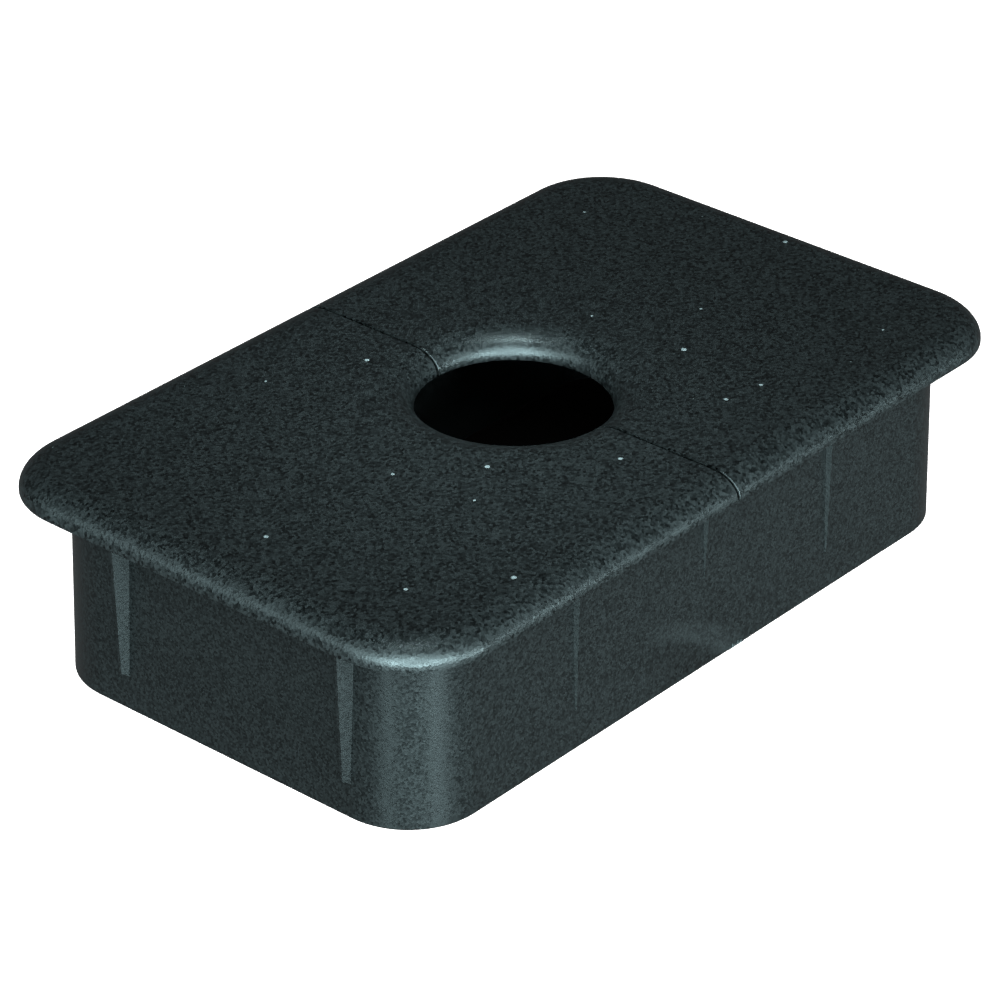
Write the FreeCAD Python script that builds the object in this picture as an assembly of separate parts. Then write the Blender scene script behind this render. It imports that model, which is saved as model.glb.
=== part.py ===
import FreeCAD, Part
import math
import os

# Rectangular desk grommet, in millimetres.
#
# A one-piece sleeve drops into a cut-out in the worktop. Two cover halves meet in
# a straight seam, close the sleeve and leave a round hole for the cables.
#
# Frame: the origin is the centre of the cable hole in the plane of the worktop's
# upper face. +X runs along the grommet's length, +Y along its width, +Z upwards.

# Cover, both halves together
COVER_LENGTH = 130.0
COVER_WIDTH = 79.7
COVER_HEIGHT = 3.4
COVER_CORNER = 13.5
COVER_PLATE = 2.2
COVER_RING = 2.1
EDGE_REACH = 5.0
EDGE_LAND = 0.25

# Cable hole and the seam that runs through it
HOLE_RADIUS = 14.0
LIP_REACH = 5.0
COLLAR_WALL = 3.0
SEAM_GAP = 0.4
SEAM_ROUND = 0.15
SEAM_WALL = 1.6

# Sleeve
SLEEVE_LENGTH = 118.6
SLEEVE_WIDTH = 68.3
SLEEVE_CORNER = 10.85
SLEEVE_DEPTH = 28.4
SLEEVE_WALL = 2.0
SLEEVE_FLARE = 0.5
SLEEVE_NECK = 2.5
FOOT_ROUND = 0.2

# Play between the cover and the sleeve, and the skirt that locates the cover
PLAY = 0.3
SKIRT_WALL = 1.5
SKIRT_DEPTH = 7.0
BEAD_RADIUS = 0.6
BEAD_PLAY = 0.05
STIFFENER = 1.2

# Wedge ribs that grip the edge of the cut-out: how far each kind stands out at its top
# and foot, its length and its places along the wall
RIB_ROOT = 0.6
RIB_DRAFT = 22.0
RIB_CREST = 0.4
RIB_LEAD_IN = 33.0
END_RIB = {"out": (2.45, 1.1), "length": 23.3, "places": (-22.4, 18.0)}
SIDE_RIB = {"out": (0.95, 0.2), "length": 22.5, "places": (-27.4, 27.7)}
MIDDLE_RIB = {"out": (0.95, 0.05), "length": 14.5, "places": (0.15,)}

# Heights and sizes that follow from the ones above
SEAT = COVER_HEIGHT - COVER_PLATE
BORE_LENGTH = SLEEVE_LENGTH - 2 * SLEEVE_WALL
BORE_WIDTH = SLEEVE_WIDTH - 2 * SLEEVE_WALL
BORE_CORNER = SLEEVE_CORNER - SLEEVE_WALL
RIM_REACH = (COVER_LENGTH - SLEEVE_LENGTH) / 2 - COVER_RING - PLAY
COLLAR_RADIUS = HOLE_RADIUS + COLLAR_WALL
BIG = 4 * COVER_LENGTH


def point(x, y, z):
    return FreeCAD.Vector(x, y, z)


def moved(shape, x=0.0, y=0.0, z=0.0, turn=0.0):
    """Copy of a shape turned about +Z by some degrees and then shifted."""
    copy = shape.copy()
    copy.rotate(point(0, 0, 0), point(0, 0, 1), turn)
    copy.translate(point(x, y, z))
    return copy


def fused(shapes):
    """One solid from shapes that touch or overlap, with leftover seams removed."""
    return shapes[0].multiFuse(shapes[1:]).removeSplitter()


def rounded_outline(length, width, corner, z):
    """Closed rectangle with round corners, centred on the Z axis."""
    x, y = length / 2, width / 2
    cx, cy = x - corner, y - corner
    edges = []
    for turn in (0, 90, 180, 270):
        across, along = (cx, cy) if turn % 180 == 0 else (cy, cx)
        circle = Part.Circle(point(across, along, z), point(0, 0, 1), corner)
        arc = Part.Arc(circle, 0, math.pi / 2).toShape()
        side = Part.makeLine(point(across + corner, -along, z), point(across + corner, along, z))
        edges.append(moved(side, turn=turn))
        edges.append(moved(arc, turn=turn))
    return Part.Wire(Part.__sortEdges__(edges))


def rounded_prism(length, width, corner, low, high):
    """Upright block with round corners between two heights."""
    face = Part.Face(rounded_outline(length, width, corner, low))
    return face.extrude(point(0, 0, high - low))


def flared_prism(length, width, corner):
    """Block as deep as the sleeve: straight at its neck, then wider with the mould draft."""
    neck = rounded_prism(length, width, corner, -SLEEVE_NECK, SEAT)
    spread = 2 * SLEEVE_FLARE
    top = rounded_outline(length, width, corner, -SLEEVE_NECK)
    foot = rounded_outline(
        length + spread, width + spread, corner + SLEEVE_FLARE, -SLEEVE_DEPTH
    )
    return neck.fuse(Part.makeLoft([foot, top], True, True))


def quarter_ellipse(wide_end, high_end, centre):
    """Quarter of an ellipse between the ends of its wide and its high half-axis."""
    ellipse = Part.Ellipse(wide_end, high_end, centre)
    return Part.ArcOfEllipse(ellipse, 0, math.pi / 2).toShape()


def face_from(edges):
    return Part.Face(Part.Wire(Part.__sortEdges__(edges)))


def edge_section():
    """Upright section through the cover's edge, reaching in as far as a corner's centre."""
    foot_in = point(0, 0, 0)
    foot_out = point(COVER_CORNER, 0, 0)
    land = point(COVER_CORNER, 0, EDGE_LAND)
    crest = point(COVER_CORNER - EDGE_REACH, 0, COVER_HEIGHT)
    top_in = point(0, 0, COVER_HEIGHT)
    centre = point(crest.x, 0, EDGE_LAND)
    return face_from([
        Part.makeLine(foot_in, foot_out),
        Part.makeLine(foot_out, land),
        quarter_ellipse(land, crest, centre),
        Part.makeLine(crest, top_in),
        Part.makeLine(top_in, foot_in),
    ])


def edge_strip(length):
    """Straight length of the cover's rounded edge, facing +X."""
    strip = edge_section().extrude(point(0, length, 0))
    return moved(strip, y=-length / 2)


def edge_corner():
    """Quarter turn of the cover's rounded edge, from +X round to +Y."""
    return edge_section().revolve(point(0, 0, 0), point(0, 0, 1), 90)


def cover_slab():
    """Solid slab with the cover's outline and its rounded upper edge."""
    x = COVER_LENGTH / 2 - COVER_CORNER
    y = COVER_WIDTH / 2 - COVER_CORNER
    middle = Part.makeBox(2 * x, 2 * y, COVER_HEIGHT, point(-x, -y, 0))
    pieces = [middle]
    for turn in (0, 180):
        side = 1 if turn == 0 else -1
        pieces.append(moved(edge_strip(2 * y), x=side * x, turn=turn))
        pieces.append(moved(edge_strip(2 * x), y=side * y, turn=turn + 90))
        pieces.append(moved(edge_corner(), x=side * x, y=side * y, turn=turn))
        pieces.append(moved(edge_corner(), x=-side * x, y=side * y, turn=turn + 90))
    return fused(pieces)


def hole_cutter():
    """Everything to remove for the cable hole, with the lip that curves up to the top."""
    above = COVER_HEIGHT + 1
    below = -1
    wall_foot = point(HOLE_RADIUS, 0, below)
    wall_top = point(HOLE_RADIUS, 0, EDGE_LAND)
    crest = point(HOLE_RADIUS + LIP_REACH, 0, COVER_HEIGHT)
    crest_up = point(crest.x, 0, above)
    centre = point(crest.x, 0, EDGE_LAND)
    section = face_from([
        Part.makeLine(point(0, 0, below), wall_foot),
        Part.makeLine(wall_foot, wall_top),
        quarter_ellipse(wall_top, crest, centre),
        Part.makeLine(crest, crest_up),
        Part.makeLine(crest_up, point(0, 0, above)),
        Part.makeLine(point(0, 0, above), point(0, 0, below)),
    ])
    return section.revolve(point(0, 0, 0), point(0, 0, 1), 360)


def skirt():
    """Wall under the cover that reaches down just inside the sleeve."""
    length = BORE_LENGTH - 2 * PLAY
    width = BORE_WIDTH - 2 * PLAY
    corner = BORE_CORNER - PLAY
    outer = rounded_prism(length, width, corner, -SKIRT_DEPTH, SEAT)
    inner = rounded_prism(
        length - 2 * SKIRT_WALL, width - 2 * SKIRT_WALL, corner - SKIRT_WALL, -SKIRT_DEPTH, SEAT
    )
    return outer.cut(inner)


def grip_beads():
    """Upright beads on the skirt that take up its play in the sleeve."""
    reach_x = BORE_LENGTH / 2 - BEAD_PLAY - BEAD_RADIUS
    reach_y = BORE_WIDTH / 2 - BEAD_PLAY - BEAD_RADIUS
    places = []
    for side in (-1, 1):
        places += [(side * reach_x, y) for y in (-BORE_WIDTH / 4, BORE_WIDTH / 4)]
        places += [(x, side * reach_y) for x in (-BORE_LENGTH / 3, -BORE_LENGTH / 8)]
        places += [(x, side * reach_y) for x in (BORE_LENGTH / 8, BORE_LENGTH / 3)]
    height = SKIRT_DEPTH + SEAT
    return [Part.makeCylinder(BEAD_RADIUS, height, point(x, y, -SKIRT_DEPTH)) for x, y in places]


def stiffeners():
    """Shallow ribs and seam walls on the underside of the cover plate."""
    reach_x = BORE_LENGTH / 2 - PLAY - SKIRT_WALL / 2
    reach_y = BORE_WIDTH / 2 - PLAY - SKIRT_WALL / 2
    seam_half = SEAM_GAP / 2 + SEAM_WALL
    pieces = [Part.makeBox(2 * seam_half, 2 * reach_y, SEAT, point(-seam_half, -reach_y, 0))]
    for y in (-reach_y / 2, 0, reach_y / 2):
        low = point(-reach_x, y - STIFFENER / 2, 0)
        pieces.append(Part.makeBox(2 * reach_x, STIFFENER, SEAT, low))
    return pieces


def whole_cover():
    """Both cover halves before the seam is cut."""
    inset = 2 * COVER_RING
    pocket = rounded_prism(
        COVER_LENGTH - inset, COVER_WIDTH - inset, COVER_CORNER - COVER_RING, 0, SEAT
    )
    shell = cover_slab().cut(pocket)
    collar = Part.makeCylinder(COLLAR_RADIUS, SEAT + COVER_PLATE / 2)
    cover = fused([shell, collar, skirt()] + grip_beads() + stiffeners())
    return cover.cut(hole_cutter())


def seam_edges(half, seam_x):
    """Edges of a cover half that run along the seam over its outer surface."""
    found = []
    for edge in half.Edges:
        middle = edge.valueAt((edge.FirstParameter + edge.LastParameter) / 2)
        ends = [vertex.Point for vertex in edge.Vertexes]
        on_seam = all(abs(spot.x - seam_x) < 1e-4 for spot in ends + [middle])
        upper = middle.z > SEAT + 1e-4
        if on_seam and upper:
            found.append(edge)
    return found


def cover_half(side):
    """The half of the cover on the -X side (side -1) or the +X side (side +1)."""
    seam_x = side * SEAM_GAP / 2
    low_x = seam_x if side > 0 else seam_x - BIG
    keep = Part.makeBox(BIG, BIG, BIG, point(low_x, -BIG / 2, -BIG / 2))
    half = whole_cover().common(keep).Solids[0]
    return half.makeFillet(SEAM_ROUND, seam_edges(half, seam_x)).Solids[0]


def sleeve_wall():
    """Tube of the sleeve, open at the top and the bottom."""
    outer = flared_prism(SLEEVE_LENGTH, SLEEVE_WIDTH, SLEEVE_CORNER)
    bore = flared_prism(BORE_LENGTH, BORE_WIDTH, BORE_CORNER)
    foot = [e for e in outer.Edges if all(v.Z < -SLEEVE_DEPTH + 1e-6 for v in e.Vertexes)]
    return outer.makeFillet(FOOT_ROUND, foot).cut(bore)


def sleeve_rim():
    """Thin rim that holds the sleeve on the worktop, hidden under the cover."""
    outer = rounded_prism(
        SLEEVE_LENGTH + 2 * RIM_REACH,
        SLEEVE_WIDTH + 2 * RIM_REACH,
        SLEEVE_CORNER + RIM_REACH,
        0,
        SEAT,
    )
    bore = rounded_prism(BORE_LENGTH + SLEEVE_WALL, BORE_WIDTH + SLEEVE_WALL, SLEEVE_CORNER, 0, SEAT)
    return outer.cut(bore)


def rib(kind):
    """Wedge rib on a wall that faces +X at x = 0, from z = 0 down to its sloping foot."""
    length = kind["length"]
    top_out, foot_out = kind["out"]
    foot_out += SLEEVE_FLARE * (length - SLEEVE_NECK) / (SLEEVE_DEPTH - SLEEVE_NECK)
    side_slope = math.tan(math.radians(RIB_DRAFT))
    foot_slope = math.tan(math.radians(RIB_LEAD_IN))

    def section(out, z, rise):
        half_out = RIB_CREST / 2
        half_in = half_out + (out + RIB_ROOT) * side_slope
        corners = [
            point(-RIB_ROOT, -half_in, z - RIB_ROOT * rise),
            point(out, -half_out, z + out * rise),
            point(out, half_out, z + out * rise),
            point(-RIB_ROOT, half_in, z - RIB_ROOT * rise),
        ]
        return Part.makePolygon(corners + corners[:1])

    top = section(top_out, 0, 0)
    foot = section(foot_out, -length, foot_slope)
    return Part.makeLoft([foot, top], True, True)


def sleeve_ribs():
    """Ribs on all four walls; the far walls repeat the near ones, turned half a turn."""
    x = SLEEVE_LENGTH / 2
    y = SLEEVE_WIDTH / 2
    near = [moved(rib(END_RIB), x=-x, y=place, turn=180) for place in END_RIB["places"]]
    for kind in (SIDE_RIB, MIDDLE_RIB):
        near += [moved(rib(kind), x=place, y=-y, turn=-90) for place in kind["places"]]
    far = [moved(piece, turn=180) for piece in near]
    return near + far


def sleeve():
    return fused([sleeve_wall(), sleeve_rim()] + sleeve_ribs())


def main():
    os.makedirs("parts", exist_ok=True)
    nodes = {
        "sleeve": sleeve(),
        "cover_half_left": cover_half(-1),
        "cover_half_right": cover_half(1),
    }
    for name, shape in nodes.items():
        shape.exportStep("parts/" + name + ".step")
        box = shape.BoundBox
        size = "x".join(str(round(s, 2)) for s in (box.XLength, box.YLength, box.ZLength))
        state = "valid" if shape.isValid() else "NOT VALID"
        print(name, len(shape.Solids), "solid", state, size, "z", round(box.ZMin, 2), round(box.ZMax, 2))


main()
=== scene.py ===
import math
import random

import bpy
from mathutils import Matrix, Vector


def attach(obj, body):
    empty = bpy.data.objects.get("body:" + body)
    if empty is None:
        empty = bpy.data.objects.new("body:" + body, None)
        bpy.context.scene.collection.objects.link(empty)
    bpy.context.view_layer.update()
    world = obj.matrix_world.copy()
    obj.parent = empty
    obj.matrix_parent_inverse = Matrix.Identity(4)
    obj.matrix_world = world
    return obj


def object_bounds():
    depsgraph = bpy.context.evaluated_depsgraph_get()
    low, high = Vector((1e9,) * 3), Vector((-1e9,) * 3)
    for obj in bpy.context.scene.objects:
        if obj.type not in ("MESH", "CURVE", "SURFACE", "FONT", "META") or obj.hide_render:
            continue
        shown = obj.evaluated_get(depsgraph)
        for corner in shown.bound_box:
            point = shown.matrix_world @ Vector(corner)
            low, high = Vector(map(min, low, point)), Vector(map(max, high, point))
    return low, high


# Desk grommet in moulded black plastic. Metres, in the CAD model's own frame:
# +X along the length, +Y along the seam, +Z up, the origin in the cable hole
# at the height of the worktop.

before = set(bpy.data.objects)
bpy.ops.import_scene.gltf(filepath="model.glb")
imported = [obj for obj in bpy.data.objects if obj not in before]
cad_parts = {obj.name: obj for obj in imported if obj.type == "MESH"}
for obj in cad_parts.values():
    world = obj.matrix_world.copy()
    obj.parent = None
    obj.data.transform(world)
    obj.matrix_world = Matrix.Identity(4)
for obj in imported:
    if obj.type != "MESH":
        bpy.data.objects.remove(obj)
CAD_LOW, CAD_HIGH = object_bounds()

MM = 0.001

# Camera
CAMERA_AIM = Vector((-4.42, -1.22, -12.5)) * MM
CAMERA_DISTANCE = 654.55 * MM
CAMERA_AZIMUTH = 220.477
CAMERA_ELEVATION = 29.93
CAMERA_ROLL = 0.265
CAMERA_LENS = 168.38
SENSOR_WIDTH = 36.0
CLIP_RANGE = (0.01, 20.0)

# Studio
FLOOR_HALF = 3.0
BACKDROP_RADIUS = 2.6
BACKDROP_HEIGHT = 2.5
BACKDROP_SIDES = 64
FLOOR_GAP = 0.2 * MM
CARD_LENGTH = 118.0 * MM
CARD_WIDTH = 67.7 * MM
CARD_CORNER = 10.6 * MM
CORNER_STEPS = 12
LIGHT_DISTANCE = 1.2
AMBIENT_ABOVE = 0.055
AMBIENT_BELOW = 0.17
HORIZON_BLEND = 0.05
FLOOR_GREY = 0.85
# near-black of the painted-shade card in the sleeve's bottom
SHADE_CARD_BLACK = 0.002

# name: azimuth and elevation in degrees, width and height in metres, power in
# watts; those below the horizon shine up through the floor, as in a light table
SOFTBOXES = {
    "side_box": (155, 35, 0.5, 0.5, 4.1),
    "left_box": (182, 20, 0.2, 0.25, 5.0),
    "left_high_box": (200, 35, 0.5, 0.5, 7.0),
    "left_front_box": (206, 20, 0.2, 0.25, 10.0),
    "front_high_box": (222, 42, 0.25, 0.3, 8.0),
    "left_strip": (206, 6, 0.08, 0.2, 6.0),
    "front_strip": (230, 6, 0.08, 0.2, 13.0),
    "right_strip": (242, 6, 0.08, 0.2, 3.5),
    "right_high_box": (245, 35, 0.5, 0.5, 5.0),
    "right_box": (254, 20, 0.2, 0.25, 12.5),
    "right_low_strip": (266, 6, 0.08, 0.2, 3.2),
    "right_side_box": (290, 35, 0.5, 0.5, 1.6),
    "right_side_strip": (290, 6, 0.08, 0.2, 7.8),
    "front_low_strip": (226, -10, 0.12, 0.1, 0.8),
    "under_left": (194, -25, 0.12, 0.15, 0.75),
    "under_right": (254, -25, 0.10, 0.15, 1.2),
    "under_side": (266, -25, 0.08, 0.15, 0.5),
}

# Soft round pools from straight above: centre on the cover in millimetres, angle
# in degrees, power in watts
POOL_HEIGHT = 600 * MM
POOL_SOFTNESS = 30 * MM
POOLS = {
    "front_pool": ((-16.0, -10.0, 3.4), 9.5, 14.0),
    "back_pool": ((2.0, 27.0, 3.4), 6.0, 2.5),
}

# Plastic: the specular tint and the base colour share one cold, slightly green cast
TINT = (0.69, 1.0, 1.05)

# Cover finish: spark-eroded grain, painted shade along the seam where the reflection is turned off, and
# dust on the flat top
COVER_SHADES = (0.0, 0.012)
COVER_GRAIN = 0.38 * MM
COVER_DEPTH = 0.025 * MM
COVER_ROUGH = (0.32, 0.48)
COVER_GLOSS = 0.5
SEAM_INSIDE = 0.22 * MM
SEAM_REACH = 0.38 * MM
FLAT_TOP = 3.2 * MM
DUST_SPACING = 11.0 * MM
DUST_RADIUS = 0.40 * MM
DUST_SHARE = 0.5
DUST_SHADE = 0.20

# Sleeve finish: finer and smoother, with a flow mark that runs down to the moulding gate
SLEEVE_SHADES = (0.0, 0.006)
SLEEVE_GRAIN = 0.30 * MM
SLEEVE_DEPTH = 0.010 * MM
SLEEVE_ROUGH = (0.32, 0.46)
SLEEVE_GLOSS = 0.58
FLOW_CENTRE = Vector((-23.9, 0.0, -60.9)) * MM
FLOW_RADIUS = 44.0 * MM
FLOW_RIM = 1.6 * MM
FLOW_REACH = (-13.0 * MM, -6.0 * MM)
FLOW_SHADE = 0.006
FLOW_SHINE = -0.05
FRONT_FACE = -30.0 * MM

# Torn flakes where the gate was broken off, at the foot of the sleeve's front face
SCAR_SEED = 4
SCAR_FLAKES = 9
SCAR_START = 5.6 * MM
SCAR_STEP = 0.38 * MM
SCAR_WALL = -34.6 * MM
SCAR_RISE = (0.3 * MM, 1.1 * MM)
SCAR_OUT = (0.05 * MM, 0.3 * MM)
SCAR_SHADES = (0.02, 0.16)
SCAR_ROUGH = 0.5
SCAR_WIDTH = (0.7, 1.2)

# The corners of each face of a flake: left foot, right foot, top and tip
SLIVER = ((0, 1, 3), (1, 2, 3), (2, 0, 3), (0, 2, 1))


def direction(azimuth, elevation):
    """Unit vector from the object towards a compass direction (from +X towards +Y) and height."""
    a, e = math.radians(azimuth), math.radians(elevation)
    return Vector((math.cos(a) * math.cos(e), math.sin(a) * math.cos(e), math.sin(e)))


def facing(back):
    """Rotation that turns an object's -Z axis against the given direction."""
    return (-back).to_track_quat("-Z", "Y").to_matrix().to_4x4()


def new_object(name, data):
    obj = bpy.data.objects.new(name, data)
    bpy.context.scene.collection.objects.link(obj)
    return obj


def make_camera():
    data = bpy.data.cameras.new("camera")
    data.lens = CAMERA_LENS
    data.sensor_width = SENSOR_WIDTH
    data.clip_start, data.clip_end = CLIP_RANGE
    camera = new_object("camera", data)
    back = direction(CAMERA_AZIMUTH, CAMERA_ELEVATION)
    roll = Matrix.Rotation(math.radians(CAMERA_ROLL), 4, "Z")
    camera.matrix_world = Matrix.Translation(CAMERA_AIM + CAMERA_DISTANCE * back) @ facing(back) @ roll
    bpy.context.scene.camera = camera


def softbox(name, azimuth, elevation, width, height, power):
    """Rectangular studio light that faces the object."""
    data = bpy.data.lights.new(name, "AREA")
    data.shape = "RECTANGLE"
    data.size = width
    data.size_y = height
    data.energy = power
    light = new_object(name, data)
    back = direction(azimuth, elevation)
    light.matrix_world = Matrix.Translation(LIGHT_DISTANCE * back) @ facing(back)
    light.visible_camera = False


def pool_light(name, centre, angle, power):
    """Soft-edged lamp straight above a point of the cover."""
    data = bpy.data.lights.new(name, "SPOT")
    data.energy = power
    data.spot_size = math.radians(angle)
    data.spot_blend = 1.0
    data.shadow_soft_size = POOL_SOFTNESS
    light = new_object(name, data)
    light.matrix_world = Matrix.Translation(Vector(centre) * MM + Vector((0, 0, POOL_HEIGHT)))
    light.visible_camera = False


def make_world():
    """Even grey light, brighter from below the horizon, as over a pale table."""
    world = bpy.data.worlds.new("studio")
    bpy.context.scene.world = world
    world.use_nodes = True
    nodes = world.node_tree.nodes
    links = world.node_tree.links
    height = nodes.new("ShaderNodeSeparateXYZ")
    links.new(nodes.new("ShaderNodeTexCoord").outputs["Generated"], height.inputs["Vector"])
    strength = nodes.new("ShaderNodeMapRange")
    for socket, value in (("From Min", -HORIZON_BLEND), ("From Max", HORIZON_BLEND),
                          ("To Min", AMBIENT_BELOW), ("To Max", AMBIENT_ABOVE)):
        strength.inputs[socket].default_value = value
    links.new(height.outputs["Z"], strength.inputs["Value"])
    links.new(strength.outputs["Result"], nodes["Background"].inputs["Strength"])
    nodes["Background"].inputs["Color"].default_value = (1, 1, 1, 1)


def flat_face(name, outline, height):
    """One level face with the given outline, at the given height."""
    mesh = bpy.data.meshes.new(name)
    mesh.from_pydata([(x, y, height) for x, y in outline], [], [range(len(outline))])
    return new_object(name, mesh)


def rounded_rectangle(length, width, corner):
    points = []
    for quarter, (side_x, side_y) in enumerate(((1, 1), (-1, 1), (-1, -1), (1, -1))):
        centre_x = side_x * (length / 2 - corner)
        centre_y = side_y * (width / 2 - corner)
        for step in range(CORNER_STEPS + 1):
            turn = math.radians(90) * (quarter + step / CORNER_STEPS)
            points.append((centre_x + corner * math.cos(turn), centre_y + corner * math.sin(turn)))
    return points


def backdrop():
    """Round wall behind the floor, so that a low view shows white too."""
    rings = []
    for height in (CAD_LOW[2] - FLOOR_GAP, BACKDROP_HEIGHT):
        for side in range(BACKDROP_SIDES):
            turn = math.tau * side / BACKDROP_SIDES
            rings.append((BACKDROP_RADIUS * math.cos(turn), BACKDROP_RADIUS * math.sin(turn), height))
    faces = []
    for side in range(BACKDROP_SIDES):
        after = (side + 1) % BACKDROP_SIDES
        faces.append((side, after, after + BACKDROP_SIDES, side + BACKDROP_SIDES))
    mesh = bpy.data.meshes.new("backdrop")
    mesh.from_pydata(rings, [], faces)
    return new_object("backdrop", mesh)


def make_stage():
    """White floor and wall that light nothing, and a black card of painted shade that closes the sleeve's
    open bottom so that the hollow reads dark.
    """
    square = [(-FLOOR_HALF, -FLOOR_HALF), (FLOOR_HALF, -FLOOR_HALF),
              (FLOOR_HALF, FLOOR_HALF), (-FLOOR_HALF, FLOOR_HALF)]
    white = floor_material()
    for screen in (flat_face("floor", square, CAD_LOW[2] - FLOOR_GAP), backdrop()):
        screen.data.materials.append(white)
        screen.visible_diffuse = False
        screen.visible_glossy = False
        screen.visible_shadow = False
    # painted shade: a black sheet inside the sleeve stands in for the shade in the hollow
    card = flat_face("painted_shade_card", rounded_rectangle(CARD_LENGTH, CARD_WIDTH, CARD_CORNER),
                     CAD_LOW[2] - FLOOR_GAP / 2)
    card.data.materials.append(shade_card_material())


class Look:
    """A material with a Principled shader and short ways to add nodes to it."""

    def __init__(self, name):
        self.material = bpy.data.materials.new(name)
        self.material.use_nodes = True
        self.nodes = self.material.node_tree.nodes
        self.links = self.material.node_tree.links
        self.shader = self.nodes["Principled BSDF"]

    def node(self, kind, inputs=None, **settings):
        node = self.nodes.new(kind)
        for key, value in settings.items():
            setattr(node, key, value)
        for key, value in (inputs or {}).items():
            if isinstance(value, bpy.types.NodeSocket):
                self.links.new(value, node.inputs[key])
            else:
                node.inputs[key].default_value = value
        return node

    def place(self):
        return self.node("ShaderNodeTexCoord").outputs["Object"]

    def grain(self, place, size):
        """Close-set round lumps: how far each point is from the nearest one's centre, and its number."""
        cells = self.node("ShaderNodeTexVoronoi", {"Vector": place, "Scale": 1 / size})
        return cells.outputs["Distance"], self.part(cells.outputs["Color"], "X")

    def ramp(self, value, low, high, out_low=0.0, out_high=1.0):
        """Steady change from one number to another while value goes from low to high."""
        inputs = {"Value": value, "From Min": low, "From Max": high, "To Min": out_low, "To Max": out_high}
        return self.node("ShaderNodeMapRange", inputs).outputs["Result"]

    def math(self, operation, first, second):
        return self.node("ShaderNodeMath", {0: first, 1: second}, operation=operation).outputs["Value"]

    def tinted(self, value):
        """The plastic's cast at the given strength."""
        scaled = self.node("ShaderNodeVectorMath", {0: TINT, "Scale": value}, operation="SCALE")
        return scaled.outputs["Vector"]

    def bump(self, height, depth, strength=1.0):
        inputs = {"Height": height, "Distance": depth, "Strength": strength}
        return self.node("ShaderNodeBump", inputs).outputs["Normal"]

    def part(self, place, axis):
        return self.node("ShaderNodeSeparateXYZ", {"Vector": place}).outputs[axis]

    def distance(self, place, centre):
        inputs = {0: place, 1: centre}
        return self.node("ShaderNodeVectorMath", inputs, operation="DISTANCE").outputs["Value"]

    def wire(self, **sockets):
        for name, socket in sockets.items():
            self.links.new(socket, self.shader.inputs[name.replace("_", " ")])

    def set(self, **values):
        for name, value in values.items():
            self.shader.inputs[name.replace("_", " ")].default_value = value


def floor_material():
    look = Look("studio_floor")
    look.set(Base_Color=(FLOOR_GREY, FLOOR_GREY, FLOOR_GREY, 1), Roughness=0.9)
    look.set(Emission_Color=(1, 1, 1, 1), Emission_Strength=1.0)
    return look.material


def shade_card_material():
    # Painted shade: near-black with no reflection, standing in for the shade inside the hollow sleeve
    look = Look("painted_shade_card_look")
    look.set(Base_Color=(SHADE_CARD_BLACK, SHADE_CARD_BLACK, SHADE_CARD_BLACK, 1))
    look.set(Roughness=1.0, Specular_IOR_Level=0.0)
    return look.material


def dust(look, place):
    """Mask of a few round specks on the flat top."""
    cells = look.node("ShaderNodeTexVoronoi", {"Vector": place, "Scale": 1 / DUST_SPACING},
                      voronoi_dimensions="2D")
    chosen = look.math("LESS_THAN", look.part(cells.outputs["Color"], "X"), DUST_SHARE)
    size = look.math("MULTIPLY", look.part(cells.outputs["Color"], "Y"), DUST_RADIUS / DUST_SPACING)
    speck = look.math("LESS_THAN", cells.outputs["Distance"], size)
    flat = look.math("GREATER_THAN", look.part(place, "Z"), FLAT_TOP)
    return look.math("MULTIPLY", look.math("MULTIPLY", chosen, speck), flat)


def painted_seam_shade(look, place):
    """Mask of the seam's inside, and of the narrow strip beside it on the flat top: painted shade, where
    the reflection is turned off.
    """
    off_seam = look.math("ABSOLUTE", look.part(place, "X"), 0.0)
    inside = look.math("LESS_THAN", off_seam, SEAM_INSIDE)
    beside = look.math("LESS_THAN", off_seam, SEAM_REACH)
    flat = look.math("GREATER_THAN", look.part(place, "Z"), FLAT_TOP)
    return look.math("MAXIMUM", inside, look.math("MULTIPLY", beside, flat))


def cover_material():
    """Spark-eroded grain: low lumps, and specks that are each a little duller or shinier."""
    look = Look("cover_plastic_look")
    place = look.place()
    slope, specks = look.grain(place, COVER_GRAIN)
    shade = look.ramp(specks, 0.0, 1.0, *COVER_SHADES)
    dusty = look.math("MULTIPLY", dust(look, place), DUST_SHADE)
    look.wire(Base_Color=look.tinted(look.math("ADD", shade, dusty)))
    look.wire(Roughness=look.ramp(specks, 0.0, 1.0, *COVER_ROUGH))
    # painted shade: no reflection in the seam and the strip beside it, standing in for the shaded gap
    # between the halves
    look.wire(Specular_IOR_Level=look.ramp(painted_seam_shade(look, place), 0.0, 1.0, COVER_GLOSS, 0.0))
    look.wire(Normal=look.bump(slope, COVER_DEPTH))
    look.set(Specular_Tint=(*TINT, 1))
    return look.material


def flow_mark(look, place):
    """Masks of the arc on the front face that ends at the gate, and of the patch under it."""
    flat = look.node("ShaderNodeVectorMath", {0: place, 1: (1, 0, 1)}, operation="MULTIPLY")
    out = look.distance(flat.outputs["Vector"], FLOW_CENTRE)
    front = look.math("LESS_THAN", look.part(place, "Y"), FRONT_FACE)
    reach = look.math("MULTIPLY", look.ramp(look.part(place, "X"), *FLOW_REACH), front)
    patch = look.math("MULTIPLY", look.ramp(out, FLOW_RADIUS - FLOW_RIM, FLOW_RADIUS, 1.0, 0.0), reach)
    rise = look.ramp(out, FLOW_RADIUS - FLOW_RIM, FLOW_RADIUS)
    fall = look.ramp(out, FLOW_RADIUS, FLOW_RADIUS + 2 * FLOW_RIM, 1.0, 0.0)
    arc = look.math("MULTIPLY", look.math("MULTIPLY", rise, fall), reach)
    return arc, patch


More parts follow.
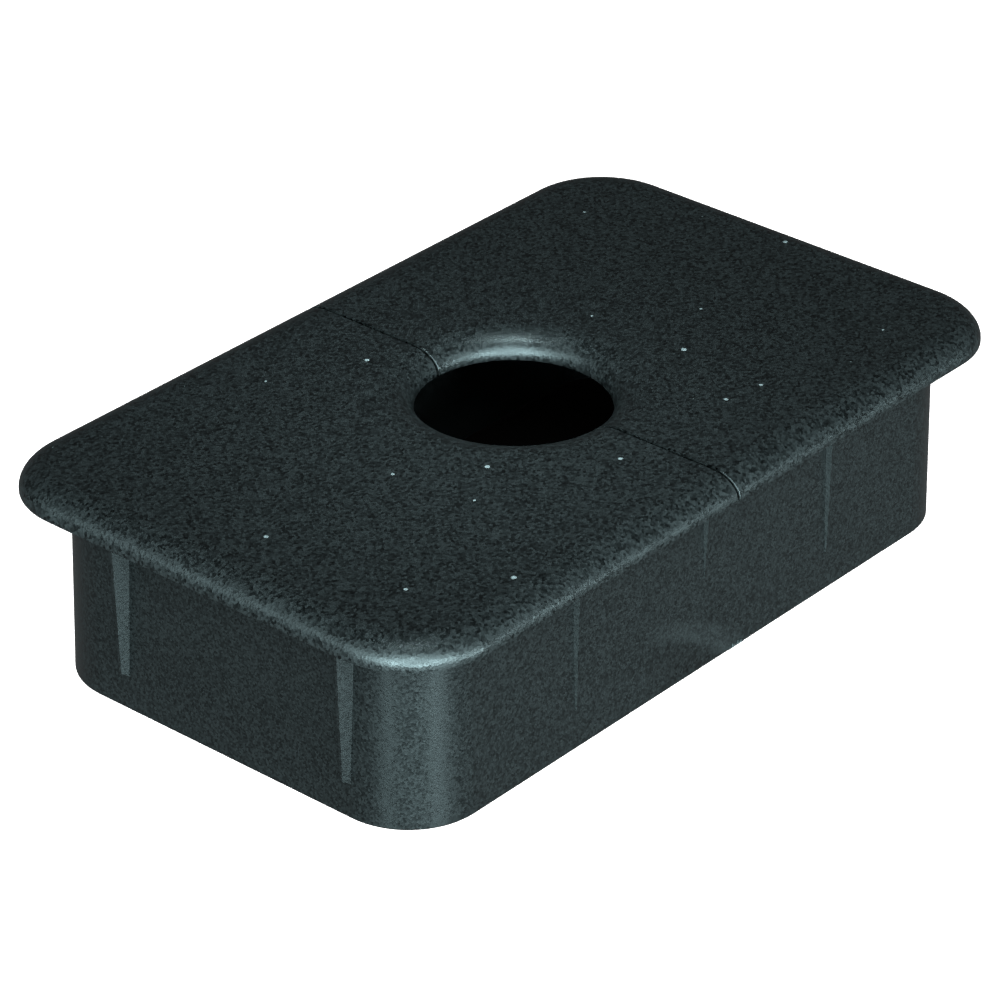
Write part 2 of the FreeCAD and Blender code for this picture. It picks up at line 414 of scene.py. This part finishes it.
def sleeve_material():
    """Smoother mould finish, with a pale arc and a shinier, darker patch under it."""
    look = Look("sleeve_plastic_look")
    place = look.place()
    slope, specks = look.grain(place, SLEEVE_GRAIN)
    arc, patch = flow_mark(look, place)
    shade = look.ramp(specks, 0.0, 1.0, *SLEEVE_SHADES)
    rough = look.ramp(specks, 0.0, 1.0, *SLEEVE_ROUGH)
    look.wire(Base_Color=look.tinted(look.math("ADD", shade, look.math("MULTIPLY", arc, FLOW_SHADE))))
    look.wire(Roughness=look.math("ADD", rough, look.math("MULTIPLY", patch, FLOW_SHINE)))
    look.wire(Normal=look.bump(slope, SLEEVE_DEPTH))
    look.set(Specular_IOR_Level=SLEEVE_GLOSS, Specular_Tint=(*TINT, 1))
    return look.material


def scar_material():
    """Torn plastic: pale and dark specks, duller than the sleeve."""
    look = Look("gate_scar_look")
    specks = look.grain(look.place(), SLEEVE_GRAIN)[1]
    look.wire(Base_Color=look.tinted(look.ramp(specks, 0.0, 1.0, *SCAR_SHADES)))
    look.set(Roughness=SCAR_ROUGH, Specular_Tint=(*TINT, 1))
    return look.material


def gate_scar():
    """A short row of small torn flakes, each a sliver that leans off the wall."""
    rng = random.Random(SCAR_SEED)
    foot = CAD_LOW[2]
    points = []
    faces = []
    for flake in range(SCAR_FLAKES):
        left = SCAR_START + flake * SCAR_STEP
        right = left + SCAR_STEP * rng.uniform(*SCAR_WIDTH)
        top = foot + rng.uniform(*SCAR_RISE)
        tip = SCAR_WALL - rng.uniform(*SCAR_OUT)
        first = len(points)
        points += [(left, SCAR_WALL, foot), (right, SCAR_WALL, foot),
                   ((left + right) / 2, SCAR_WALL, top), (left, tip, (foot + top) / 2)]
        faces += [[first + corner for corner in face] for face in SLIVER]
    mesh = bpy.data.meshes.new("gate_scar")
    mesh.from_pydata(points, [], faces)
    mesh.materials.append(scar_material())
    scar = new_object("gate_scar", mesh)
    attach(scar, "sleeve")


make_camera()
for box_name, settings in SOFTBOXES.items():
    softbox(box_name, *settings)
for pool_name, settings in POOLS.items():
    pool_light(pool_name, *settings)
make_world()
make_stage()

LOOKS = {"sleeve": sleeve_material(), "cover": cover_material()}
for node_name, node_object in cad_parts.items():
    node_object.data.materials.clear()
    node_object.data.materials.append(LOOKS[node_name.split("_")[0]])

gate_scar()

bpy.context.scene.view_settings.view_transform = "Standard"
